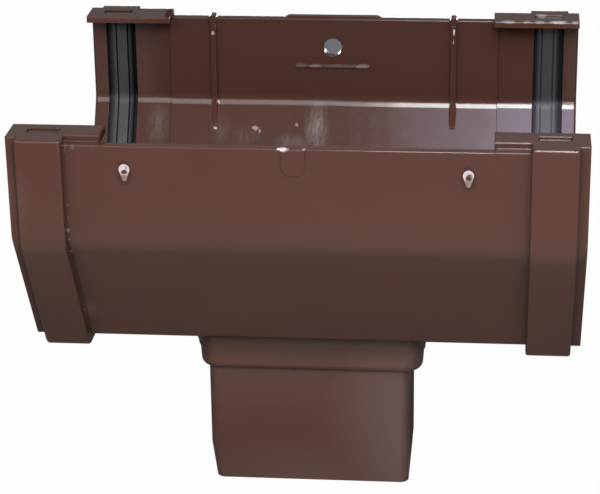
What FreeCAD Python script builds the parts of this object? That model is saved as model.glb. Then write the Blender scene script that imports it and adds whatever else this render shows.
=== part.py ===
import FreeCAD, Part
import math
import os

# Gutter running outlet: a PVC trough with a socket at each end, a rubber
# seal in each socket and a rectangular spigot for the downpipe.
# Millimetres. +X runs along the gutter, -Y is the front, +Z is up.
# The origin is the middle of the spigot's section, level with its lower rim.

# overall sizes
length = 200.0
top_width = 166.0
front_from_axis = 63.5
clip_top_z = 149.0
floor_z = 61.1
upper_wall = 37.6
crease_set_in = 0.4
floor_corner_set_in = 31.5

# walls
channel_wall = 3.6
socket_wall = 2.8
crease_radius = 7.0
inner_crease_radius = 9.0
inner_crease_drop = 0.8
floor_radius = 4.0
least_radius = 0.8
rim_radius = 0.6
rim_drop = 2.6

# sockets, bands and seal grooves, measured inwards from the ends
socket_depth = 32.5
lip_length = 3.6
band_width = 16.2
band_raise = 3.9
band_edge_radius = 0.9
groove_outer_land = 2.2
groove_inner_land = 1.8
groove_floor_out = 1.2
mouth_chamfer = 0.8

# retention clips, measured down from the clip tops; the back ones reach over the channel
clip_reach = 14.0
back_clip_over = 1.6
clip_plate = 2.6
clip_root_drop = 4.4
clip_step_back = 3.6
slot_from_face = 5.5
back_slot_from_face = 3.0
slot_width = 5.0
slot_depth = 1.6
slot_inset = 0.3

# seals: each ridge is start, stop and how far it stands into the socket
seal_base = 1.6
seal_ridges = [(1.5, 3.0, 0.5), (3.6, 7.6, 1.1), (8.3, 9.5, 0.5)]
seal_top_gap = 0.2

# collar and spigot
spigot_half_x = 37.5
spigot_half_y = 25.0
spigot_radius = 3.4
spigot_wall = 2.4
lead_in_height = 14.0
lead_in = 1.8
collar_x = 1.0
collar_out_top = 4.9
collar_out_bottom = 3.9
collar_front_out = 2.4
collar_radius = 7.3
collar_height = 14.8
collar_edge = 2.6
cove_radius = 6.5
cove_front = 1.0
outlet_mouth = 1.6

# fixing hole, lug and ledge on the back wall, measured down from the rim
hole_radius = 3.75
hole_below_rim = 12.1
lug_half_top = 18.3
lug_half_base = 20.2
lug_rise = 1.0
ledge_half = 15.2
ledge_below_hole = 7.3
ledge_height = 1.3
ledge_out = 1.2

# stop ribs on the back wall, which thin out below the crease
rib_from_socket = 18.1
rib_width = 2.2
rib_out = 1.3
rib_top_below_rim = 2.2
rib_below_crease = 9.4
rib_end_out = 0.4
bump_radius = 1.7
bump_rise = 1.3

# front marks
tab_x = -0.7
tab_width = 8.2
tab_height = 9.9
tab_out = 0.7
gate_from_socket = 8.5
gate_below_rim = 8.5
gate_radius = 1.9
gate_tail = 3.4
gate_out = 0.5
gate_pit_radius = 0.8
gate_pit = 0.35

# places that follow from the sizes above
end_x = length / 2.0
socket_inner_x = end_x - socket_depth
band_outer_x = end_x - lip_length
band_inner_x = band_outer_x - band_width
groove_outer_x = band_outer_x - groove_outer_land
groove_inner_x = band_inner_x + groove_inner_land
rib_x = socket_inner_x - rib_from_socket
gate_x = socket_inner_x - gate_from_socket
front_y = -front_from_axis
back_y = front_y + top_width
mid_y = (front_y + back_y) / 2.0
open_front_y = front_y + clip_reach
open_back_y = back_y - clip_reach
rim_z = clip_top_z - rim_drop
clip_under_z = clip_top_z - clip_plate
clip_root_z = clip_top_z - clip_root_drop
crease_z = clip_top_z - upper_wall
hole_z = rim_z - hole_below_rim
ledge_z = hole_z - ledge_below_hole
gate_z = rim_z - gate_below_rim
collar_bottom_z = floor_z - collar_height


def rounded_wire(points, radii, to_vector):
    """Closed wire through 2-D points, each corner rounded by its radius."""
    count = len(points)
    cut = []
    for i in range(count):
        p0 = points[i - 1]
        p1 = points[i]
        p2 = points[(i + 1) % count]
        a = (p0[0] - p1[0], p0[1] - p1[1])
        b = (p2[0] - p1[0], p2[1] - p1[1])
        la = math.hypot(a[0], a[1])
        lb = math.hypot(b[0], b[1])
        a = (a[0] / la, a[1] / la)
        b = (b[0] / lb, b[1] / lb)
        r = radii[i]
        if r <= 0:
            cut.append((p1, None, p1))
            continue
        half = math.acos(max(-1.0, min(1.0, a[0] * b[0] + a[1] * b[1]))) / 2.0
        run = r / math.tan(half)
        s = (a[0] + b[0], a[1] + b[1])
        ls = math.hypot(s[0], s[1])
        reach = r / math.sin(half) - r
        start = (p1[0] + a[0] * run, p1[1] + a[1] * run)
        stop = (p1[0] + b[0] * run, p1[1] + b[1] * run)
        middle = (p1[0] + s[0] / ls * reach, p1[1] + s[1] / ls * reach)
        cut.append((start, middle, stop))
    edges = []
    for i in range(count):
        start, middle, stop = cut[i]
        if middle is not None:
            arc = Part.Arc(to_vector(start), to_vector(middle), to_vector(stop))
            edges.append(arc.toShape())
        following = cut[(i + 1) % count][0]
        if math.hypot(following[0] - stop[0], following[1] - stop[1]) > 1e-6:
            edges.append(Part.makeLine(to_vector(stop), to_vector(following)))
    return Part.Wire(edges)


def inward_share(out):
    """How far an offset lies on the way from the outer to the inner face of the channel."""
    return max(-out, 0.0) / channel_wall


def crease_rounding(out):
    """Radius of the crease on a face moved outwards by a distance."""
    return crease_radius + max(out, 0.0) + (inner_crease_radius - crease_radius) * inward_share(out)


def trough_points(out, top):
    """Corners of the trough section moved outwards by a distance."""
    slope_y = floor_corner_set_in - crease_set_in
    slope_z = crease_z - floor_z
    slope = math.hypot(slope_y, slope_z)
    lean = crease_set_in / (clip_top_z - crease_z)
    normal_y = slope_z / slope
    normal_z = slope_y / slope
    # the wall above the crease leans in by a little, so its offset is taken as level
    crease_y = crease_set_in - out
    crease_drop = out * (1.0 - normal_y) / normal_z + inner_crease_drop * inward_share(out)
    floor_y = floor_corner_set_in - out * (1.0 - normal_z) / normal_y
    high_y = crease_y - lean * (top - (crease_z - crease_drop))
    half = top_width / 2.0
    return [
        (high_y - half, top),
        (crease_y - half, crease_z - crease_drop),
        (floor_y - half, floor_z - out),
        (half - floor_y, floor_z - out),
        (half - crease_y, crease_z - crease_drop),
        (half - high_y, top),
    ]


def trough_wire(out, top, x, roof=None):
    """Closed trough section at x; roof adds corners over the open top."""
    points = trough_points(out, top)
    at_crease = crease_rounding(out)
    at_floor = max(floor_radius + out, least_radius)
    radii = [0.0, at_crease, at_floor, at_floor, at_crease, 0.0]
    if roof:
        for y, z in roof:
            points.append((y, z))
            radii.append(0.0)
    return rounded_wire(points, radii, lambda p: FreeCAD.Vector(x, p[0] + mid_y, p[1]))


def trough_solid(out, top, x0, x1, roof=None):
    face = Part.Face(trough_wire(out, top, x0, roof))
    return face.extrude(FreeCAD.Vector(x1 - x0, 0, 0))


def block(x0, x1, y0, y1, z0, z1):
    return Part.makeBox(x1 - x0, y1 - y0, z1 - z0, FreeCAD.Vector(x0, y0, z0))


def prism_x(points, radii, x0, x1):
    """Prism along X from a section given in Y and Z."""
    wire = rounded_wire(points, radii, lambda p: FreeCAD.Vector(x0, p[0], p[1]))
    return Part.Face(wire).extrude(FreeCAD.Vector(x1 - x0, 0, 0))


def rounded_rectangle(x0, x1, y0, y1, radius, z):
    points = [(x0, y0), (x1, y0), (x1, y1), (x0, y1)]
    return rounded_wire(points, [radius] * 4, lambda p: FreeCAD.Vector(p[0], p[1], z))


def mirrored(shape):
    """The same shape at the other end of the gutter."""
    return shape.mirror(FreeCAD.Vector(0, 0, 0), FreeCAD.Vector(1, 0, 0))


def edges_of_plane(shape, axis, value, tolerance=1e-4):
    """Edges that lie in the plane where the given coordinate has the value."""
    chosen = []
    for edge in shape.Edges:
        box = edge.BoundBox
        low = (box.XMin, box.YMin, box.ZMin)[axis]
        high = (box.XMax, box.YMax, box.ZMax)[axis]
        if abs(low - value) < tolerance and abs(high - value) < tolerance:
            chosen.append(edge)
    return chosen


def make_band():
    """Raised band round the right-hand socket, with its clip tops."""
    band = trough_solid(band_raise, clip_top_z, band_inner_x, band_outer_x)
    edges = edges_of_plane(band, 0, band_inner_x)
    edges += edges_of_plane(band, 0, band_outer_x)
    for edge in edges_of_plane(band, 2, clip_top_z):
        if edge.BoundBox.XLength > 1.0:
            edges.append(edge)
    return band.makeFillet(band_edge_radius, edges)


def make_channel():
    """Wall of the channel between the sockets, with rounded rims."""
    outer = trough_points(0.0, rim_z)
    inner = trough_points(-channel_wall, rim_z)
    inner.reverse()
    radii = [rim_radius, crease_radius, floor_radius, floor_radius, crease_radius, rim_radius]
    at_crease = crease_rounding(-channel_wall)
    at_floor = max(floor_radius - channel_wall, least_radius)
    inside = [rim_radius, at_crease, at_floor, at_floor, at_crease, rim_radius]
    wire = rounded_wire(outer + inner, radii + inside,
                        lambda p: FreeCAD.Vector(-socket_inner_x, p[0] + mid_y, p[1]))
    return Part.Face(wire).extrude(FreeCAD.Vector(2.0 * socket_inner_x, 0, 0))


def make_walls():
    """Outer form of the trough, its bands and clips, before it is hollowed."""
    body = make_channel()
    end = trough_solid(0.0, rim_z, socket_inner_x, end_x)
    lip = trough_solid(0.0, clip_top_z, band_inner_x + band_edge_radius, end_x)
    band = make_band()
    set_back_front = [
        (front_y, clip_root_z), (front_y, rim_z), (front_y + clip_step_back, rim_z),
        (front_y + clip_step_back, clip_top_z), (open_front_y, clip_top_z),
        (open_front_y, clip_root_z),
    ]
    radii = [0.0, 0.0, 0.0, rim_radius, 0.0, 0.0]
    inner = prism_x(set_back_front, radii, socket_inner_x, band_outer_x)
    # the back clip stays level with the outer face of the back wall
    set_back_back = [
        (back_y, clip_root_z), (back_y, clip_top_z), (open_back_y, clip_top_z),
        (open_back_y, clip_root_z),
    ]
    inner_back = prism_x(set_back_back, [0.0, rim_radius, 0.0, 0.0],
                         socket_inner_x - back_clip_over, band_outer_x)
    right = lip.fuse([end, band, inner, inner_back])
    return body.fuse([right, mirrored(right)]).removeSplitter()


def make_hollow():
    """The channel, both sockets, both seal grooves and the open top."""
    over = clip_top_z + 10.0
    channel = trough_solid(-channel_wall, clip_under_z, -socket_inner_x - 1.0, socket_inner_x + 1.0)
    y_wall = open_front_y - mid_y
    roof = [(-y_wall, clip_under_z), (y_wall, clip_under_z)]
    socket = trough_solid(-socket_wall, clip_root_z, socket_inner_x, end_x + 1.0, roof)
    groove = trough_solid(groove_floor_out, clip_root_z - seal_top_gap, groove_inner_x, groove_outer_x)
    inside = trough_wire(-socket_wall, clip_root_z, end_x - mouth_chamfer, roof)
    outside = trough_wire(mouth_chamfer - socket_wall, clip_root_z, end_x, roof)
    mouth = Part.makeLoft([inside, outside], True, True)
    slot_top = block(socket_inner_x - 1.0, end_x + 1.0, open_front_y, open_back_y, clip_root_z - 4.0, over)
    tools = [channel]
    for one in (socket, groove, mouth, slot_top):
        tools.append(one)
        tools.append(mirrored(one))
    return tools


def make_clip_slots():
    """Blind slots in the tops of the four clips."""
    x0 = groove_inner_x + slot_inset
    x1 = groove_outer_x - slot_inset
    z0 = clip_top_z - slot_depth
    front = block(x0, x1, front_y + slot_from_face, front_y + slot_from_face + slot_width, z0, clip_top_z + 1.0)
    y1 = back_y - back_slot_from_face
    back = block(x0, x1, y1 - slot_width, y1, z0, clip_top_z + 1.0)
    return [front, back, mirrored(front), mirrored(back)]


def make_collar():
    """Collar under the floor, with a cove above, tapered sides and a rounded lower edge."""
    hx = spigot_half_x + collar_out_top
    hy = spigot_half_y + collar_out_top
    y0 = -spigot_half_y - collar_front_out
    x0 = collar_x - hx
    x1 = collar_x + hx
    sections = []
    steps = 6
    for i in range(steps + 1):
        turn = math.pi / 2.0 * i / steps
        grow = cove_radius * (1.0 - math.cos(turn))
        z = floor_z - cove_radius * (1.0 - math.sin(turn))
        front = cove_front * grow / cove_radius
        sections.append(rounded_rectangle(x0 - grow, x1 + grow, y0 - front, hy + grow, collar_radius, z))
    cove = Part.makeLoft(sections, True, False)
    low_x = spigot_half_x + collar_out_bottom
    low_y = spigot_half_y + collar_out_bottom
    base = rounded_rectangle(collar_x - low_x, collar_x + low_x, y0, low_y, collar_radius, collar_bottom_z)
    top = rounded_rectangle(x0, x1, y0, hy, collar_radius, floor_z + 1.0)
    collar = Part.makeLoft([base, top], True, True)
    collar = collar.makeFillet(collar_edge, edges_of_plane(collar, 2, collar_bottom_z))
    return [collar, cove]


def make_spigot():
    """Rectangular spigot with a lead-in on the left side of its lower end."""
    hx = spigot_half_x
    hy = spigot_half_y
    wide = rounded_rectangle(-hx, hx, -hy, hy, spigot_radius, lead_in_height)
    low = rounded_rectangle(-hx + lead_in, hx, -hy, hy, spigot_radius, 0.0)
    straight = Part.Face(wide).extrude(FreeCAD.Vector(0, 0, collar_bottom_z + 4.0 - lead_in_height))
    tapered = Part.makeLoft([low, wide], True, True)
    return straight.fuse(tapered)


def make_duct():
    """The way through the spigot and floor, with a chamfered mouth."""
    hx = spigot_half_x - spigot_wall
    hy = spigot_half_y - spigot_wall
    radius = spigot_radius - spigot_wall + 0.6
    low = rounded_rectangle(-hx, hx, -hy, hy, radius, -1.0)
    inner_floor = floor_z + channel_wall
    duct = Part.Face(low).extrude(FreeCAD.Vector(0, 0, inner_floor + 2.0))
    at_bottom = rounded_rectangle(-hx, hx, -hy, hy, radius, inner_floor - outlet_mouth)
    m = outlet_mouth * 2.0
    at_top = rounded_rectangle(-hx - m, hx + m, -hy - m, hy + m, radius + m, inner_floor + outlet_mouth)
    return [duct, Part.makeLoft([at_bottom, at_top], True, True)]


def make_lug():
    """Raised length of the back rim and the small ledge under the hole."""
    y0 = back_y - channel_wall
    points = [
        (-lug_half_base, rim_z - 0.5), (lug_half_base, rim_z - 0.5), (lug_half_base, rim_z),
        (lug_half_top, rim_z + lug_rise), (-lug_half_top, rim_z + lug_rise), (-lug_half_base, rim_z),
    ]
    wire = rounded_wire(points, [0.0] * 6, lambda p: FreeCAD.Vector(p[0], y0 + rim_radius, p[1]))
    lug = Part.Face(wire).extrude(FreeCAD.Vector(0, channel_wall - 2.0 * rim_radius, 0))
    section = [
        (y0 + 1.0, ledge_z - ledge_height), (y0 + 1.0, ledge_z),
        (y0 - ledge_out, ledge_z), (y0 - ledge_out, ledge_z - ledge_height),
    ]
    ledge = prism_x(section, [0.0, 0.0, 0.4, 0.4], -ledge_half, ledge_half)
    return [lug, ledge]


def make_ribs():
    """Two slim ribs down the inside of the back wall, each with a bump on the rim."""
    x0 = rib_x - rib_width / 2.0
    x1 = rib_x + rib_width / 2.0
    wall = trough_points(-channel_wall, rim_z)
    rim_y = wall[5][0] + mid_y
    crease_y = wall[4][0] + mid_y
    crease_in_z = wall[4][1]
    floor_y = wall[3][0] + mid_y
    bottom_z = crease_z - rib_below_crease
    share = (crease_in_z - bottom_z) / (crease_in_z - wall[3][1])
    end_y = crease_y + (floor_y - crease_y) * share
    top_z = rim_z - rib_top_below_rim
    into = channel_wall / 3.0
    section = [
        (rim_y + into, top_z), (rim_y - rib_out, top_z), (crease_y - rib_out, crease_in_z),
        (end_y - rib_end_out, bottom_z), (end_y + into, bottom_z), (crease_y + into, crease_in_z),
    ]
    rib = prism_x(section, [0.0, 0.0, 2.0, rib_end_out / 2.0, 0.0, 0.0], x0, x1)
    y0 = back_y - channel_wall - rib_out
    start = FreeCAD.Vector(rib_x, y0, rim_z + bump_rise - bump_radius)
    depth = channel_wall + rib_out - 0.4
    bump = Part.makeCylinder(bump_radius, depth, start, FreeCAD.Vector(0, 1, 0))
    return [rib, mirrored(rib), bump, mirrored(bump)]


def make_front_marks():
    """Small rounded tab below the front rim and two moulding gate marks."""
    half = tab_width / 2.0
    bottom_z = rim_z - tab_height
    points = [(tab_x - half, bottom_z), (tab_x + half, bottom_z),
              (tab_x + half, rim_z - rim_radius), (tab_x - half, rim_z - rim_radius)]
    deep = 2.0
    face_y = front_y + crease_set_in
    wire = rounded_wire(points, [half * 0.9, half * 0.9, 0.0, 0.0],
                        lambda p: FreeCAD.Vector(p[0], face_y - tab_out, p[1]))
    tab = Part.Face(wire).extrude(FreeCAD.Vector(0, tab_out + deep, 0))
    adds = [tab]
    cuts = []
    for side in (-1.0, 1.0):
        x = side * gate_x
        y = face_y - gate_out
        out = FreeCAD.Vector(0, 1, 0)
        head = Part.makeCylinder(gate_radius, gate_out + deep, FreeCAD.Vector(x, y, gate_z), out)
        narrow = gate_radius * 0.45
        tip = Part.makeCylinder(narrow, gate_out + deep, FreeCAD.Vector(x, y, gate_z - gate_tail), out)
        corners = [(x - gate_radius * 0.96, gate_z - 0.5), (x + gate_radius * 0.96, gate_z - 0.5),
                   (x + narrow * 0.96, gate_z - gate_tail), (x - narrow * 0.96, gate_z - gate_tail)]
        wire = rounded_wire(corners, [0.0] * 4, lambda p: FreeCAD.Vector(p[0], y, p[1]))
        middle = Part.Face(wire).extrude(FreeCAD.Vector(0, gate_out + deep, 0))
        adds.append(head.fuse([tip, middle]))
        pit_at = FreeCAD.Vector(x, y - 1.0, gate_z - 0.9)
        cuts.append(Part.makeCylinder(gate_pit_radius, 1.0 + gate_pit, pit_at, out))
    return adds, cuts


def make_body():
    walls = make_walls()
    walls = walls.fuse(make_collar() + [make_spigot()])
    walls = walls.cut(make_hollow() + make_duct())
    walls = walls.removeSplitter()
    adds, cuts = make_front_marks()
    body = walls.fuse(make_lug() + make_ribs() + adds)
    hole_y = back_y - channel_wall - 5.0
    hole = Part.makeCylinder(hole_radius, channel_wall + 10.0,
                             FreeCAD.Vector(0, hole_y, hole_z), FreeCAD.Vector(0, 1, 0))
    body = body.cut([hole] + cuts + make_clip_slots())
    return body.removeSplitter()


def make_seal():
    """Ribbed rubber strip that fills the right-hand groove from clip to clip."""
    top = clip_root_z - seal_top_gap
    over = top + 5.0
    outer = trough_solid(groove_floor_out, top, groove_inner_x, groove_outer_x)
    inside = trough_solid(groove_floor_out - seal_base, over, groove_inner_x - 1.0, groove_outer_x + 1.0)
    parts = []
    for start, stop, proud in seal_ridges:
        x0 = groove_inner_x + start
        x1 = groove_inner_x + stop
        ridge = trough_solid(groove_floor_out - 1.0, top, x0, x1)
        hollow = trough_solid(-socket_wall - proud, over, x0 - 1.0, x1 + 1.0)
        parts.append(ridge.cut(hollow))
    return outer.cut(inside).fuse(parts).removeSplitter()


def single_solid(shape, name):
    if len(shape.Solids) != 1:
        raise ValueError(name + " is not one solid")
    solid = shape.Solids[0]
    if not solid.isValid():
        raise ValueError(name + " is not a valid solid")
    return solid


os.makedirs("parts", exist_ok=True)
seal = single_solid(make_seal(), "seal")
pieces = {
    "outlet_body": single_solid(make_body(), "outlet_body"),
    "seal_right": seal,
    "seal_left": single_solid(mirrored(seal), "seal_left"),
}
for name, solid in pieces.items():
    solid.exportStep("parts/" + name + ".step")
    print(name, round(solid.Volume, 1), "mm3", len(solid.Faces), "faces", solid.BoundBox)
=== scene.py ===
# %% [markdown]
# A running outlet for a plastic gutter, photographed from a little above on white.
# It is one brown moulding with a rubber seal in the socket at each end. The CAD
# already holds its real shape, so here it gets its camera, its light and its
# finishes, and the small moulding and handling marks that a solid doesn't show.

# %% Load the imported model
import math
import bmesh
import bpy
from mathutils import Matrix, Vector

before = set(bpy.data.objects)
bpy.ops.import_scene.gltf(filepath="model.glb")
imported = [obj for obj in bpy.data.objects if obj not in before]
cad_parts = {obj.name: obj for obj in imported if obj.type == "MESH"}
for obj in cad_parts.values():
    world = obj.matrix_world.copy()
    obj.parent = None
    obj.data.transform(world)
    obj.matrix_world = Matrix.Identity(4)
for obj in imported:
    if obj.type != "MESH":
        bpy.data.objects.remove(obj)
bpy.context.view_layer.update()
print("CAD nodes:", sorted(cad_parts))

MM = 0.001

# %% [markdown]
# The camera comes first, because everything that is judged by eye is judged
# through it. Its place and turn were worked out from the corners of the outlet:
# it stands about 0.8 m away, a little to the right, and looks down by 22 degrees.
# The three directions of the view are written out and become the camera's matrix.

# %% Camera
camera_place = Vector((70.05, -752.57, 386.80)) * MM
turn_left, look_down, tilt = (math.radians(v) for v in (5.692, 21.74, -0.842))
ahead = Vector((-math.sin(turn_left) * math.cos(look_down),
                math.cos(turn_left) * math.cos(look_down),
                -math.sin(look_down)))
level = Vector((math.cos(turn_left), math.sin(turn_left), 0.0))
above = level.cross(ahead)
right = level * math.cos(tilt) + above * math.sin(tilt)
upward = above * math.cos(tilt) - level * math.sin(tilt)

camera_data = bpy.data.cameras.new("product_camera")
camera_data.sensor_width = 36.0
camera_data.lens = 129.46
camera_data.clip_start = 0.01
camera = bpy.data.objects.new("product_camera", camera_data)
camera.matrix_world = Matrix.Translation(camera_place) @ Matrix(
    (right, upward, -ahead)).transposed().to_4x4()
bpy.context.collection.objects.link(camera)
bpy.context.scene.camera = camera
bpy.context.scene.view_settings.view_transform = "Standard"
print("camera to outlet:", round((camera_place - Vector((0, 0, 0.09))).length, 3), "m")

# %% [markdown]
# Colours are written as the hex values that a picture editor shows. Blender
# works in linear light, so one function turns them. A second function adds a
# shader node with its settings and links, which keeps each material short. The
# Mix node has separate sockets for colours and for vectors, named here once.

# %% Helpers for materials
SHARE, FIRST, SECOND, MIXED = 0, 6, 7, 2
FIRST_VECTOR, SECOND_VECTOR, MIXED_VECTOR = 4, 5, 1


def linear(hex_value):
    """sRGB hex text as a linear RGBA colour."""
    channels = []
    for i in (0, 2, 4):
        v = int(hex_value[i:i + 2], 16) / 255.0
        channels.append(v / 12.92 if v <= 0.04045 else ((v + 0.055) / 1.055) ** 2.4)
    return (*channels, 1.0)


def add(tree, kind, settings=None, inputs=None):
    """Adds a node, sets its properties, and sets or links its inputs."""
    made = tree.nodes.new(kind)
    for name, value in (settings or {}).items():
        setattr(made, name, value)
    for name, value in (inputs or {}).items():
        socket = made.inputs[name]
        if isinstance(value, bpy.types.NodeSocket):
            tree.links.new(value, socket)
        else:
            socket.default_value = value
    return made


def new_material(name):
    """An empty node material and its tree."""
    material = bpy.data.materials.new(name)
    material.use_nodes = True
    material.node_tree.nodes.clear()
    return material, material.node_tree


print("dark brown as linear light:", [round(v, 3) for v in linear("5C3D33")[:3]])

# %% [markdown]
# Marks lie at known places, so they are drawn by ellipsoids. Each has a centre
# and three half sizes in millimetres and a strength, which it keeps out to the
# share of its size called core and then fades to nothing at its border.

# %% Helper for marks


def near_points(tree, place, marks, core=0.6):
    """The strength of the strongest mark at a place."""
    share = 0.0
    for centre, reach, strength in marks:
        offset = add(tree, "ShaderNodeVectorMath", {"operation": "SUBTRACT"},
                     {0: place, 1: Vector(centre) * MM})
        scaled = add(tree, "ShaderNodeVectorMath", {"operation": "DIVIDE"},
                     {0: offset.outputs[0], 1: Vector(reach) * MM})
        far = add(tree, "ShaderNodeVectorMath", {"operation": "LENGTH"},
                  {0: scaled.outputs[0]})
        inside = add(tree, "ShaderNodeMapRange", None,
                     {"Value": far.outputs["Value"], "From Min": 1.0, "From Max": core,
                      "To Max": strength})
        share = add(tree, "ShaderNodeMath", {"operation": "MAXIMUM"},
                    {0: inside.outputs[0], 1: share}).outputs[0]
    return share


# %% [markdown]
# The outlet stands on a wide level sheet. Lit paper is not quite white to the
# camera, so for rays from the camera a plain white is mixed in, and a little of
# it for rays off a gloss. The rest is lit paper, which keeps the shadow. The
# paper itself is grey, with a paler strip in front: the upper walls mirror that
# strip, and the lower slopes mirror the darker paper under the outlet.

# %% Paper floor


def whitened_share(tree, gloss_share):
    """1 for rays from the camera or through glass, and a share for rays off a gloss."""
    rays = add(tree, "ShaderNodeLightPath")
    direct = add(tree, "ShaderNodeMath", {"operation": "MAXIMUM"},
                 {0: rays.outputs["Is Camera Ray"], 1: rays.outputs["Is Transmission Ray"]})
    gloss = add(tree, "ShaderNodeMath", {"operation": "MULTIPLY"},
                {0: rays.outputs["Is Glossy Ray"], 1: gloss_share})
    both = add(tree, "ShaderNodeMath", {"operation": "MAXIMUM"},
               {0: direct.outputs[0], 1: gloss.outputs[0]})
    return both.outputs[0]


def matt_and_plain(tree, lit_colour, plain_colour, share):
    """A matt surface that shows an even, unlit colour for a share of the rays."""
    lit = add(tree, "ShaderNodeBsdfDiffuse", None, {"Color": lit_colour})
    plain = add(tree, "ShaderNodeEmission", None, {"Color": plain_colour, "Strength": 1.0})
    both = add(tree, "ShaderNodeMixShader", None,
               {0: share, 1: lit.outputs[0], 2: plain.outputs[0]})
    add(tree, "ShaderNodeOutputMaterial", None, {"Surface": both.outputs[0]})


def flat_sheet(name, centre, width, depth, material):
    """A level rectangle that belongs to the studio and not to the product."""
    mesh = bpy.data.meshes.new(name)
    shape = bmesh.new()
    bmesh.ops.create_grid(shape, x_segments=1, y_segments=1, size=0.5)
    bmesh.ops.transform(shape, verts=shape.verts, matrix=Matrix.Translation(centre)
                        @ Matrix.Diagonal((width, depth, 1.0, 1.0)))
    shape.to_mesh(mesh)
    shape.free()
    mesh.materials.append(material)
    sheet = bpy.data.objects.new(name, mesh)
    bpy.context.collection.objects.link(sheet)
    return sheet


paper, tree = new_material("matt_white_paper")
place = add(tree, "ShaderNodeTexCoord").outputs["Object"]
across = add(tree, "ShaderNodeSeparateXYZ", None, {0: place})
near = add(tree, "ShaderNodeMapRange", None,
           {"Value": across.outputs["Y"], "From Min": -0.42, "From Max": -0.15})
under = add(tree, "ShaderNodeMapRange", None,
            {"Value": across.outputs["Y"], "From Min": -0.06, "From Max": -0.10})
strip = add(tree, "ShaderNodeMath", {"operation": "MULTIPLY"},
            {0: near.outputs[0], 1: under.outputs[0]})
grey = add(tree, "ShaderNodeMix", {"data_type": "RGBA"},
           {SHARE: strip.outputs[0], FIRST: linear("7C7C7C"), SECOND: linear("C4C4BC")})
share = add(tree, "ShaderNodeMath", {"operation": "MULTIPLY"},
            {0: whitened_share(tree, 0.05), 1: 0.985})
matt_and_plain(tree, grey.outputs[MIXED], linear("FFFFFF"), share.outputs[0])
floor = flat_sheet("paper_floor", Vector((0.0, 0.0, 0.0)), 12.0, 12.0, paper)
print("floor:", floor.name, "in", paper.name)

# %% [markdown]
# The photo shows a grey patch through the screw hole. The camera's line through
# the hole meets the floor 0.56 m behind the outlet, in the outlet's shadow, so a
# small card of painted shadow lies there, an even grey to the camera, hidden
# from the camera but for the hole.

# %% Painted shadow card
card_place = Vector((-37.3, 559.6, 0.5)) * MM
painted_shadow_grey = linear("6E6E76")
painted_shadow_paint, tree = new_material("matt_painted_shadow_card")
matt_and_plain(tree, painted_shadow_grey, painted_shadow_grey, whitened_share(tree, 0.0))
card = flat_sheet("painted_shadow_card", card_place, 30 * MM, 70 * MM, painted_shadow_paint)
print("card:", card.name, "in", painted_shadow_paint.name)

# %% [markdown]
# The light is that of a small studio. A broad soft lamp stands in front on the
# left and a smaller key lamp in the middle. A tall strip fills the right. Two
# cool lamps high on the right are what the slope inside the trough mirrors, and
# they give it its lilac sheen. A long low strip lights the back of the outlet,
# below the clip tops, so that the front doesn't see it. The world gives an even
# fill, is white to the camera and partly white to a gloss.

# %% Lamps and world


def soft_lamp(name, place, aim, width, height, power, colour):
    """Rectangular area lamp that points from place to aim, in metres and watts."""
    data = bpy.data.lights.new(name, "AREA")
    data.shape = "RECTANGLE"
    data.size = width
    data.size_y = height
    data.energy = power
    data.color = linear(colour)[:3]
    lamp = bpy.data.objects.new(name, data)
    lamp.location = place
    lamp.rotation_euler = (Vector(aim) - Vector(place)).to_track_quat("-Z", "Y").to_euler()
    lamp.visible_camera = False
    bpy.context.collection.objects.link(lamp)
    return lamp


white_light = "FFFFFF"
middle = (0.0, 0.0, 0.09)
right_part = (0.03, 0.03, 0.09)
soft_lamp("broad_softbox", (-0.25, -0.62, 0.51), middle, 0.45, 0.28, 1.1, white_light)
soft_lamp("key_softbox", (0.06, -0.60, 0.53), right_part, 0.16, 0.24, 2.0, white_light)
soft_lamp("side_strip", (0.14, -0.60, 0.39), right_part, 0.08, 0.42, 0.8, white_light)
soft_lamp("cool_window", (0.24, -0.44, 0.64), (0.03, 0.05, 0.09), 0.50, 0.36, 1.15, "E4E6FF")
soft_lamp("cool_pane", (0.17, -0.40, 0.60), (0.06, 0.09, 0.10), 0.22, 0.30, 0.65, "D4D8FF")
soft_lamp("back_strip", (0.0, 0.95, 0.07), (0.0, 0.0, 0.07), 1.20, 0.10, 6.0, white_light)

world = bpy.data.worlds.new("studio_white")
bpy.context.scene.world = world
world.use_nodes = True
tree = world.node_tree
tree.nodes.clear()
fill = add(tree, "ShaderNodeBackground", None, {"Color": linear("FFFFFF"), "Strength": 0.12})
white = add(tree, "ShaderNodeBackground", None, {"Color": linear("FFFFFF"), "Strength": 1.0})
mixed = add(tree, "ShaderNodeMixShader", None,
            {0: whitened_share(tree, 0.13), 1: fill.outputs[0], 2: white.outputs[0]})
add(tree, "ShaderNodeOutputWorld", None, {"Surface": mixed.outputs[0]})

# %% [markdown]
# The moulding is unplasticised PVC, coloured brown right through and injection
# moulded in a polished steel tool, which gives a satin gloss. Its brown drifts
# by a few percent over some 40 mm, as the melt flowed. The upper back wall inside
# the trough is mixed to a deeper brown as painted shade.

# %% Brown PVC: colour
pvc, tree = new_material("injection_moulded_brown_PVC")
place = add(tree, "ShaderNodeTexCoord").outputs["Object"]
split = add(tree, "ShaderNodeSeparateXYZ", None, {0: place})

drift_size = 40 * MM
drift = add(tree, "ShaderNodeTexNoise", None,
            {"Vector": place, "Scale": 1.0 / drift_size, "Detail": 3.0, "Roughness": 0.55})
faded = add(tree, "ShaderNodeMix", {"data_type": "RGBA"},
            {SHARE: drift.outputs["Fac"], FIRST: linear("5A392E"), SECOND: linear("623F33")})

# painted shade: the upper back wall inside the trough is made a deeper brown
back_wall_shade_place = [((0.0, 101.0, 131.0), (300.0, 16.0, 21.0), 1.0)]
back_wall_painted_shade = near_points(tree, place, back_wall_shade_place, 0.8)
brown = add(tree, "ShaderNodeMix", {"data_type": "RGBA"},
            {SHARE: back_wall_painted_shade, FIRST: faded.outputs[MIXED], SECOND: linear("573830")})
print("PVC nodes so far:", len(tree.nodes))

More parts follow.
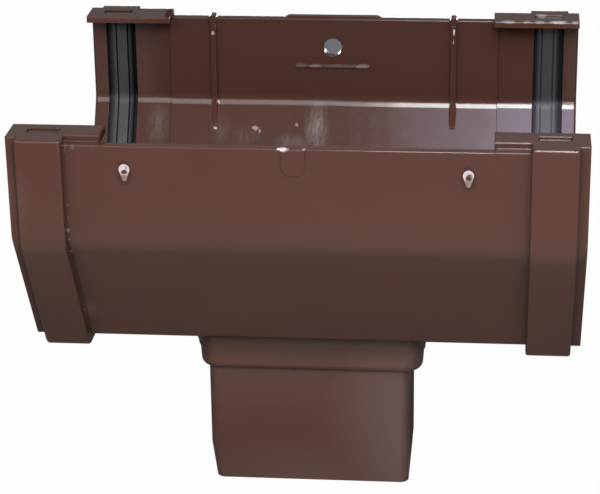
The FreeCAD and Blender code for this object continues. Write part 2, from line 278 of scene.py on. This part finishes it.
# %% [markdown]
# A Bevel node rounds the sharp edges for the shader alone, by more round the
# tops of the clips, which the photo shows softer. Where its normal differs from
# the true one there is an edge, and edges are worn to a paler, greyer brown.
# The wear is broken up over 3 mm.

# %% Brown PVC: worn edges
edge_radius = 0.3 * MM
clip_edge_radius = 1.1 * MM
clips_start_x = 65 * MM
clips_start_z = 146 * MM
chafe_size = 3 * MM
most_wear = 0.35

from_middle = add(tree, "ShaderNodeMath", {"operation": "ABSOLUTE"}, {0: split.outputs["X"]})
at_clip = add(tree, "ShaderNodeMath", {"operation": "GREATER_THAN"},
              {0: from_middle.outputs[0], 1: clips_start_x})
at_top = add(tree, "ShaderNodeMath", {"operation": "GREATER_THAN"},
             {0: split.outputs["Z"], 1: clips_start_z})
clip_top = add(tree, "ShaderNodeMath", {"operation": "MULTIPLY"},
               {0: at_clip.outputs[0], 1: at_top.outputs[0]})
radius = add(tree, "ShaderNodeMapRange", None,
             {"Value": clip_top.outputs[0], "To Min": edge_radius, "To Max": clip_edge_radius})
rounded = add(tree, "ShaderNodeBevel", {"samples": 6}, {"Radius": radius.outputs[0]})
true_normal = add(tree, "ShaderNodeNewGeometry").outputs["Normal"]
match = add(tree, "ShaderNodeVectorMath", {"operation": "DOT_PRODUCT"},
            {0: rounded.outputs[0], 1: true_normal})
edge = add(tree, "ShaderNodeMapRange", None,
           {"Value": match.outputs["Value"], "From Min": 0.995, "From Max": 0.80})

chafe = add(tree, "ShaderNodeTexNoise", None,
            {"Vector": place, "Scale": 1.0 / chafe_size, "Detail": 4.0, "Roughness": 0.6})
broken = add(tree, "ShaderNodeMapRange", None,
             {"Value": chafe.outputs["Fac"], "From Min": 0.42, "From Max": 0.66})
wear = add(tree, "ShaderNodeMath", {"operation": "MULTIPLY"},
           {0: edge.outputs[0], 1: broken.outputs[0]})
wear = add(tree, "ShaderNodeMath", {"operation": "MULTIPLY"},
           {0: wear.outputs[0], 1: most_wear})
worn = add(tree, "ShaderNodeMix", {"data_type": "RGBA"},
           {SHARE: wear.outputs[0], FIRST: brown.outputs[MIXED], SECOND: linear("8C7468")})
print("PVC nodes so far:", len(tree.nodes))

# %% [markdown]
# Dust has settled in streaks on the slope inside the trough. A pale lilac
# painted reflection lies on the right half and the bottom of the spigot and on
# the left end of the left band. Dust has torn outlines, so it is looked up at a
# place that wanders by half a millimetre.

# %% Brown PVC: dust and painted reflection
dusty_places = [
    ((-6.5, 92.0, 101.5), (6.0, 16.0, 14.0), 0.30),
    ((-16.5, 88.0, 95.5), (9.0, 9.0, 5.0), 0.20),
    ((-46.0, 91.0, 100.5), (5.0, 10.0, 7.0), 0.16),
    ((-73.0, 92.0, 103.0), (5.5, 12.0, 14.0), 0.20),
    ((-36.0, 90.0, 98.0), (9.0, 8.0, 6.0), 0.10),
    ((-79.0, -40.0, 76.0), (4.0, 8.0, 6.0), 0.15),
]
# painted reflection: pale lilac patches on the spigot and the left band's end
painted_reflection_places = [
    ((37.0, -25.0, 14.0), (34.0, 8.0, 60.0), 0.14),
    ((0.0, -25.0, -4.0), (60.0, 8.0, 26.0), 0.08),
    ((-98.5, -66.0, 127.0), (9.0, 6.0, 15.0), 0.06),
]
wander_size = 1.2 * MM
wander_reach = 1.6 * MM
streak_width = 1.5 * MM

wander = add(tree, "ShaderNodeTexNoise", None,
             {"Vector": place, "Scale": 1.0 / wander_size, "Detail": 2.0})
centred = add(tree, "ShaderNodeVectorMath", {"operation": "SUBTRACT"},
              {0: wander.outputs["Color"], 1: (0.5, 0.5, 0.5)})
step = add(tree, "ShaderNodeVectorMath", {"operation": "SCALE"},
           {0: centred.outputs[0], "Scale": wander_reach})
torn = add(tree, "ShaderNodeVectorMath", {"operation": "ADD"},
           {0: place, 1: step.outputs[0]}).outputs[0]

dusty = near_points(tree, torn, dusty_places, 0.0)
streaks = add(tree, "ShaderNodeMapping", None, {"Vector": torn, "Scale": (1.0, 0.25, 0.25)})
speckle = add(tree, "ShaderNodeTexNoise", None,
              {"Vector": streaks.outputs[0], "Scale": 1.0 / streak_width, "Detail": 5.0,
               "Roughness": 0.7})
patchy = add(tree, "ShaderNodeMapRange", None,
             {"Value": speckle.outputs["Fac"], "From Min": 0.30, "From Max": 0.75})
dust_share = add(tree, "ShaderNodeMath", {"operation": "MULTIPLY"},
                 {0: dusty, 1: patchy.outputs[0]})
dusted = add(tree, "ShaderNodeMix", {"data_type": "RGBA"},
             {SHARE: dust_share.outputs[0], FIRST: worn.outputs[MIXED],
              SECOND: linear("C4B6B2")})
painted_reflection = near_points(tree, place, painted_reflection_places, 0.0)
dust_and_reflection = add(tree, "ShaderNodeMix", {"data_type": "RGBA"},
            {SHARE: painted_reflection, FIRST: dusted.outputs[MIXED], SECOND: linear("C4B8B6")})
print("PVC nodes so far:", len(tree.nodes))

# %% [markdown]
# Knocks bruised the plastic pale on the slope and on the left band. The pale
# marks on the front rim, the two ribs, the ledge under the screw hole and the
# top of the back right clip are painted highlights. Each is at the place where
# the photo shows it.

# %% Brown PVC: bruises and painted highlights
# painted highlights: glints on the front rim
front_rim_glints = [
    ((-4.3, -63.0, 146.1), (2.2, 1.4, 0.9), 1.0),
    ((3.2, -63.2, 146.3), (0.9, 0.9, 0.4), 0.35),
]
# painted highlights: glints on the two ribs
rib_glints = [
    ((-49.4, 97.6, 140.2), (0.8, 1.2, 1.0), 0.60),
    ((-48.2, 97.6, 143.4), (0.5, 1.2, 1.2), 0.4),
    ((-47.9, 97.0, 110.6), (0.8, 1.4, 0.8), 1.0),
    ((-48.6, 91.0, 101.2), (0.8, 1.4, 0.8), 0.9),
    ((49.6, 97.6, 141.8), (0.5, 1.2, 1.8), 0.9),
    ((49.4, 97.6, 137.4), (0.4, 1.0, 0.9), 0.5),
]
slope_bruises = [
    ((-32.1, 92.2, 101.2), (1.5, 2.0, 1.0), 0.45),
    ((-30.2, 92.2, 99.9), (0.9, 1.6, 1.4), 0.4),
    ((-14.6, 93.0, 102.5), (0.8, 1.4, 0.8), 0.35),
]
left_band_bruises = [
    ((-79.1, -63.2, 145.6), (0.4, 1.5, 3.0), 0.12),
    ((-76.6, -63.2, 145.8), (0.9, 1.5, 1.6), 0.07),
    ((-79.5, -63.2, 124.4), (0.4, 1.6, 0.6), 0.16),
    ((-79.6, -63.2, 119.5), (0.4, 1.6, 0.6), 0.12),
    ((-79.6, -63.2, 115.0), (0.4, 1.6, 0.9), 0.22),
    ((-79.5, -63.2, 111.3), (0.4, 1.6, 0.8), 0.20),
    ((-79.7, -60.6, 105.2), (0.5, 1.8, 1.3), 0.45),
    ((-80.4, -40.2, 75.0), (0.7, 2.0, 0.9), 0.22),
    ((-80.2, -38.4, 72.1), (0.6, 2.0, 0.7), 0.22),
    ((-87.4, -48.0, 84.1), (1.8, 2.0, 1.5), 0.08),
    ((-86.2, -44.0, 80.1), (2.2, 2.0, 0.8), 0.08),
]
# painted highlights along the ledge under the screw hole
ledge_highlights = [
    ((-13.2, 98.0, 126.6), (2.8, 3.0, 1.6), 0.06),
    ((-7.2, 98.0, 126.4), (2.8, 3.0, 1.1), 0.15),
    ((2.5, 98.0, 126.4), (8.0, 3.0, 1.0), 0.06),
    ((12.0, 98.0, 126.4), (3.4, 3.0, 1.1), 0.20),
]
# painted highlights: bright dashes on the top of the back right clip
back_clip_glints = [
    ((71.6, 89.3, 149.0), (3.4, 1.7, 1.0), 0.40),
    ((79.0, 89.3, 149.0), (1.8, 1.6, 1.0), 0.30),
    ((84.2, 89.4, 149.0), (2.4, 1.7, 1.0), 0.45),
    ((91.6, 89.5, 149.0), (4.4, 1.8, 1.0), 0.80),
    ((98.4, 89.5, 149.0), (1.8, 1.6, 1.0), 0.55),
    ((84.8, 99.4, 149.0), (2.4, 0.9, 2.0), 0.45),
]
bruises_and_glints = [*front_rim_glints, *rib_glints, *slope_bruises, *left_band_bruises,
           *ledge_highlights, *back_clip_glints]
bruise_and_glint_share = near_points(tree, torn, bruises_and_glints)
bruised_and_glinted = add(tree, "ShaderNodeMix", {"data_type": "RGBA"},
              {SHARE: bruise_and_glint_share, FIRST: dust_and_reflection.outputs[MIXED], SECOND: linear("EFE4E0")})
print("bruises:", len(bruises_and_glints))

# %% [markdown]
# The two gate marks, where the melt was injected, stand a little proud. Their
# faces were scraped pale, duller on the lower tail, with a dark rim round them
# and a little dirt in the middle.

# %% Brown PVC: gate marks
gate_x = (-59.0, 59.0)
gate_face_y = -63.48 * MM
gate_areas = [((x, -63.6, 136.5), (3.6, 3.0, 6.5), 1.0) for x in gate_x]
gate_rims = [((x, -63.4, 136.6), (3.0, 3.0, 5.2), 0.5) for x in gate_x]
gate_dirt = [
    ((-59.0, -63.4, 137.0), (1.5, 1.4, 0.8), 0.85),
    ((-58.2, -63.4, 138.6), (0.5, 1.4, 1.1), 0.35),
    ((-59.5, -63.4, 135.0), (1.2, 1.4, 0.6), 0.35),
    ((59.3, -63.4, 137.3), (1.4, 1.4, 1.6), 0.85),
    ((58.4, -63.4, 134.9), (0.6, 1.4, 1.4), 0.4),
]

proud = add(tree, "ShaderNodeMath", {"operation": "LESS_THAN"},
            {0: split.outputs["Y"], 1: gate_face_y})
scraped = add(tree, "ShaderNodeMath", {"operation": "MULTIPLY"},
              {0: near_points(tree, place, gate_areas), 1: proud.outputs[0]})
scraped = add(tree, "ShaderNodeMath", {"operation": "MINIMUM"},
              {0: scraped.outputs[0], 1: 0.92})
head = add(tree, "ShaderNodeMapRange", None,
           {"Value": split.outputs["Z"], "From Min": 135.6 * MM, "From Max": 137.0 * MM})
scar = add(tree, "ShaderNodeMix", {"data_type": "RGBA"},
           {SHARE: head.outputs[0], FIRST: linear("A88A82"), SECOND: linear("ECD9D6")})
ringed = add(tree, "ShaderNodeMix", {"data_type": "RGBA"},
             {SHARE: near_points(tree, place, gate_rims, 0.8), FIRST: bruised_and_glinted.outputs[MIXED],
              SECOND: linear("3A2620")})
gated = add(tree, "ShaderNodeMix", {"data_type": "RGBA"},
            {SHARE: scraped.outputs[0], FIRST: ringed.outputs[MIXED],
             SECOND: scar.outputs[MIXED]})
dirtied = add(tree, "ShaderNodeMix", {"data_type": "RGBA"},
              {SHARE: near_points(tree, torn, gate_dirt), FIRST: gated.outputs[MIXED],
               SECOND: linear("5A473F")})
print("PVC nodes so far:", len(tree.nodes))

# %% [markdown]
# Corners, hollows and the parts under overhangs are darkened as painted shade,
# which an Ambient Occlusion node finds. The hollow top of the collar and the
# right corner of the spigot get painted shade too, so they are multiplied down
# as well.

# %% Brown PVC: painted shade
painted_shade_reach = 25 * MM
collar_shade_low = 50.5 * MM
collar_shade_full = 55.5 * MM
trough_floor_z = 61.05 * MM
collar_side_x = 60 * MM
# painted shade on the right corner of the spigot
spigot_corner_shade = [((42.0, -8.0, 10.0), (8.5, 60.0, 70.0), 0.30)]

# painted shade in corners and hollows, found by Ambient Occlusion
corner = add(tree, "ShaderNodeAmbientOcclusion", {"samples": 6, "only_local": True},
             {"Distance": painted_shade_reach})
corner_painted_shade = add(tree, "ShaderNodeMapRange", None,
            {"Value": corner.outputs["AO"], "From Min": 0.35, "From Max": 0.90,
             "To Min": 0.5, "To Max": 1.0})
# painted shade on the hollow top of the collar, under the trough
cove = add(tree, "ShaderNodeMapRange", None,
           {"Value": split.outputs["Z"], "From Min": collar_shade_low,
            "From Max": collar_shade_full, "To Max": 0.34})
low = add(tree, "ShaderNodeMath", {"operation": "LESS_THAN"},
          {0: split.outputs["Z"], 1: trough_floor_z})
inner = add(tree, "ShaderNodeMath", {"operation": "LESS_THAN"},
            {0: from_middle.outputs[0], 1: collar_side_x})
collar_painted_shade = add(tree, "ShaderNodeMath", {"operation": "MULTIPLY"},
             {0: cove.outputs[0], 1: low.outputs[0]})
collar_painted_shade = add(tree, "ShaderNodeMath", {"operation": "MULTIPLY"},
             {0: collar_painted_shade.outputs[0], 1: inner.outputs[0]})
painted_shade_share = add(tree, "ShaderNodeMath", {"operation": "MAXIMUM"},
             {0: collar_painted_shade.outputs[0], 1: near_points(tree, place, spigot_corner_shade)})
unshaded_share = add(tree, "ShaderNodeMath", {"operation": "SUBTRACT"}, {0: 1.0, 1: painted_shade_share.outputs[0]})
painted_shade_factor = add(tree, "ShaderNodeMath", {"operation": "MULTIPLY"},
            {0: corner_painted_shade.outputs[0], 1: unshaded_share.outputs[0]})
surface = add(tree, "ShaderNodeMix", {"data_type": "RGBA", "blend_type": "MULTIPLY"},
              {SHARE: 1.0, FIRST: dirtied.outputs[MIXED], SECOND: painted_shade_factor.outputs[0]})
print("PVC nodes so far:", len(tree.nodes))

# %% [markdown]
# The crease along the front is a soft curve 12 mm high on the real outlet, so
# over that height the normal turns evenly from the lower slope's to the upper
# wall's. On top come the moulding's slight waviness and a fine grain.

# %% Brown PVC: relief
crease_low = 104.5 * MM
crease_high = 117.0 * MM
crease_middle = (crease_low + crease_high) / 2.0
slope_normal = (0.0, -0.851, -0.526)
wall_normal = (0.0, -1.0, -0.011)
front_before_y = -50 * MM
wave_size = 14 * MM
grain_size = 0.5 * MM

height = add(tree, "ShaderNodeMapRange", {"interpolation_type": "SMOOTHSTEP"},
             {"Value": split.outputs["Z"], "From Min": crease_low, "From Max": crease_high})
curved = add(tree, "ShaderNodeMix", {"data_type": "VECTOR"},
             {SHARE: height.outputs[0], FIRST_VECTOR: slope_normal,
              SECOND_VECTOR: wall_normal})
facing = add(tree, "ShaderNodeSeparateXYZ", None, {0: true_normal})
outward = add(tree, "ShaderNodeMath", {"operation": "LESS_THAN"},
              {0: facing.outputs["Y"], 1: -0.84})
in_front = add(tree, "ShaderNodeMath", {"operation": "LESS_THAN"},
               {0: split.outputs["Y"], 1: front_before_y})
at_height = add(tree, "ShaderNodeMath", {"operation": "COMPARE"},
                {0: split.outputs["Z"], 1: crease_middle, 2: crease_high - crease_middle})
on_crease = add(tree, "ShaderNodeMath", {"operation": "MULTIPLY"},
                {0: outward.outputs[0], 1: in_front.outputs[0]})
on_crease = add(tree, "ShaderNodeMath", {"operation": "MULTIPLY"},
                {0: on_crease.outputs[0], 1: at_height.outputs[0]})
softened = add(tree, "ShaderNodeMix", {"data_type": "VECTOR"},
               {SHARE: on_crease.outputs[0], FIRST_VECTOR: rounded.outputs[0],
                SECOND_VECTOR: curved.outputs[MIXED_VECTOR]})

wavy = add(tree, "ShaderNodeTexNoise", None,
           {"Vector": place, "Scale": 1.0 / wave_size, "Detail": 1.0})
grain = add(tree, "ShaderNodeTexNoise", None,
            {"Vector": place, "Scale": 1.0 / grain_size, "Detail": 2.0})
bump = add(tree, "ShaderNodeBump", None,
           {"Strength": 0.25, "Distance": 0.4 * MM, "Height": wavy.outputs["Fac"],
            "Normal": softened.outputs[MIXED_VECTOR]})
bump = add(tree, "ShaderNodeBump", None,
           {"Strength": 0.10, "Distance": 0.03 * MM, "Height": grain.outputs["Fac"],
            "Normal": bump.outputs[0]})
print("PVC nodes so far:", len(tree.nodes))

# %% [markdown]
# The polished tool leaves a roughness of 0.11 to 0.15. Dust and worn edges are
# duller, and a few places don't shine at all: the feet of the two ribs, the
# right side of the spigot and collar, and the inner ends of the left clips.

# %% Brown PVC: gloss
rib_feet = [((x, 95.0, 107.0), (1.9, 12.0, 7.0), 1.0) for x in (-49.4, 49.4)]
right_sides = [
    ((39.5, 0.0, 20.0), (5.0, 34.0, 36.0), 0.8),
    ((46.5, 0.0, 53.0), (5.0, 34.0, 12.0), 0.8),
]
left_clip_ends = [((-67.0, y, 147.0), (2.0, 12.0, 4.5), 1.0) for y in (-56.0, 95.0)]

dull = near_points(tree, place, [*rib_feet, *right_sides, *left_clip_ends])
polish = add(tree, "ShaderNodeMapRange", None,
             {"Value": chafe.outputs["Fac"], "From Min": 0.3, "From Max": 0.7,
              "To Min": 0.11, "To Max": 0.15})
rough = add(tree, "ShaderNodeMath", {"operation": "ADD"},
            {0: dust_share.outputs[0], 1: polish.outputs[0]})
rough = add(tree, "ShaderNodeMath", {"operation": "MULTIPLY_ADD"},
            {0: edge.outputs[0], 1: 0.2, 2: rough.outputs[0]})
rough = add(tree, "ShaderNodeMath", {"operation": "MAXIMUM"}, {0: rough.outputs[0], 1: dull})
gloss = add(tree, "ShaderNodeMapRange", None, {"Value": dull, "To Min": 0.5, "To Max": 0.0})
shader = add(tree, "ShaderNodeBsdfPrincipled", None,
             {"Base Color": surface.outputs[MIXED], "Roughness": rough.outputs[0], "IOR": 1.53,
              "Specular IOR Level": gloss.outputs[0], "Normal": bump.outputs[0]})
add(tree, "ShaderNodeOutputMaterial", None, {"Surface": shader.outputs[0]})
print("PVC nodes in all:", len(tree.nodes))

# %% [markdown]
# The seals are EPDM rubber, extruded and pressed into their grooves: nearly
# black, a little bluish, and slightly shiny. Their raised crowns are grey,
# partly a bloom over some 9 mm and partly a painted sheen, and their sunken
# sides are made deep black as painted shade.

# %% Black rubber
bloom_size = 9 * MM
rubber_grain = 0.6 * MM
any_length = 400.0
crowns = [((x, 20.0, 100.0), (5.2, any_length, any_length), 1.0) for x in (-88.65, 87.65)]

rubber, tree = new_material("extruded_black_EPDM_rubber")
place = add(tree, "ShaderNodeTexCoord").outputs["Object"]
bloom = add(tree, "ShaderNodeTexNoise", None,
            {"Vector": place, "Scale": 1.0 / bloom_size, "Detail": 4.0, "Roughness": 0.6})
# grey crowns are bloom and painted sheen; the deep black sides are painted shade
crown_bloom_and_sheen = near_points(tree, place, crowns)
bloom_and_sheen_grey = add(tree, "ShaderNodeMix", {"data_type": "RGBA"},
              {SHARE: bloom.outputs["Fac"], FIRST: linear("343438"), SECOND: linear("49494D")})
black = add(tree, "ShaderNodeMix", {"data_type": "RGBA"},
            {SHARE: crown_bloom_and_sheen, FIRST: linear("131416"), SECOND: bloom_and_sheen_grey.outputs[MIXED]})
grain = add(tree, "ShaderNodeTexNoise", None,
            {"Vector": place, "Scale": 1.0 / rubber_grain, "Detail": 3.0})
bump = add(tree, "ShaderNodeBump", None,
           {"Strength": 0.2, "Distance": 0.05 * MM, "Height": grain.outputs["Fac"]})
sheen = add(tree, "ShaderNodeMapRange", None, {"Value": crown_bloom_and_sheen, "To Min": 0.15, "To Max": 0.5})
shader = add(tree, "ShaderNodeBsdfPrincipled", None,
             {"Base Color": black.outputs[MIXED], "Roughness": 0.42, "IOR": 1.5,
              "Specular IOR Level": sheen.outputs[0], "Normal": bump.outputs[0]})
add(tree, "ShaderNodeOutputMaterial", None, {"Surface": shader.outputs[0]})
print("rubber nodes:", len(tree.nodes))

# %% [markdown]
# The CAD nodes keep their shape and only change what fills their slots.

# %% Dress the CAD nodes
finishes = {"outlet_body": pvc, "seal_left": rubber, "seal_right": rubber}
for name, finish in finishes.items():
    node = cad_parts[name]
    for spot in node.material_slots:
        spot.material = finish
    print(name, "wears", finish.name)
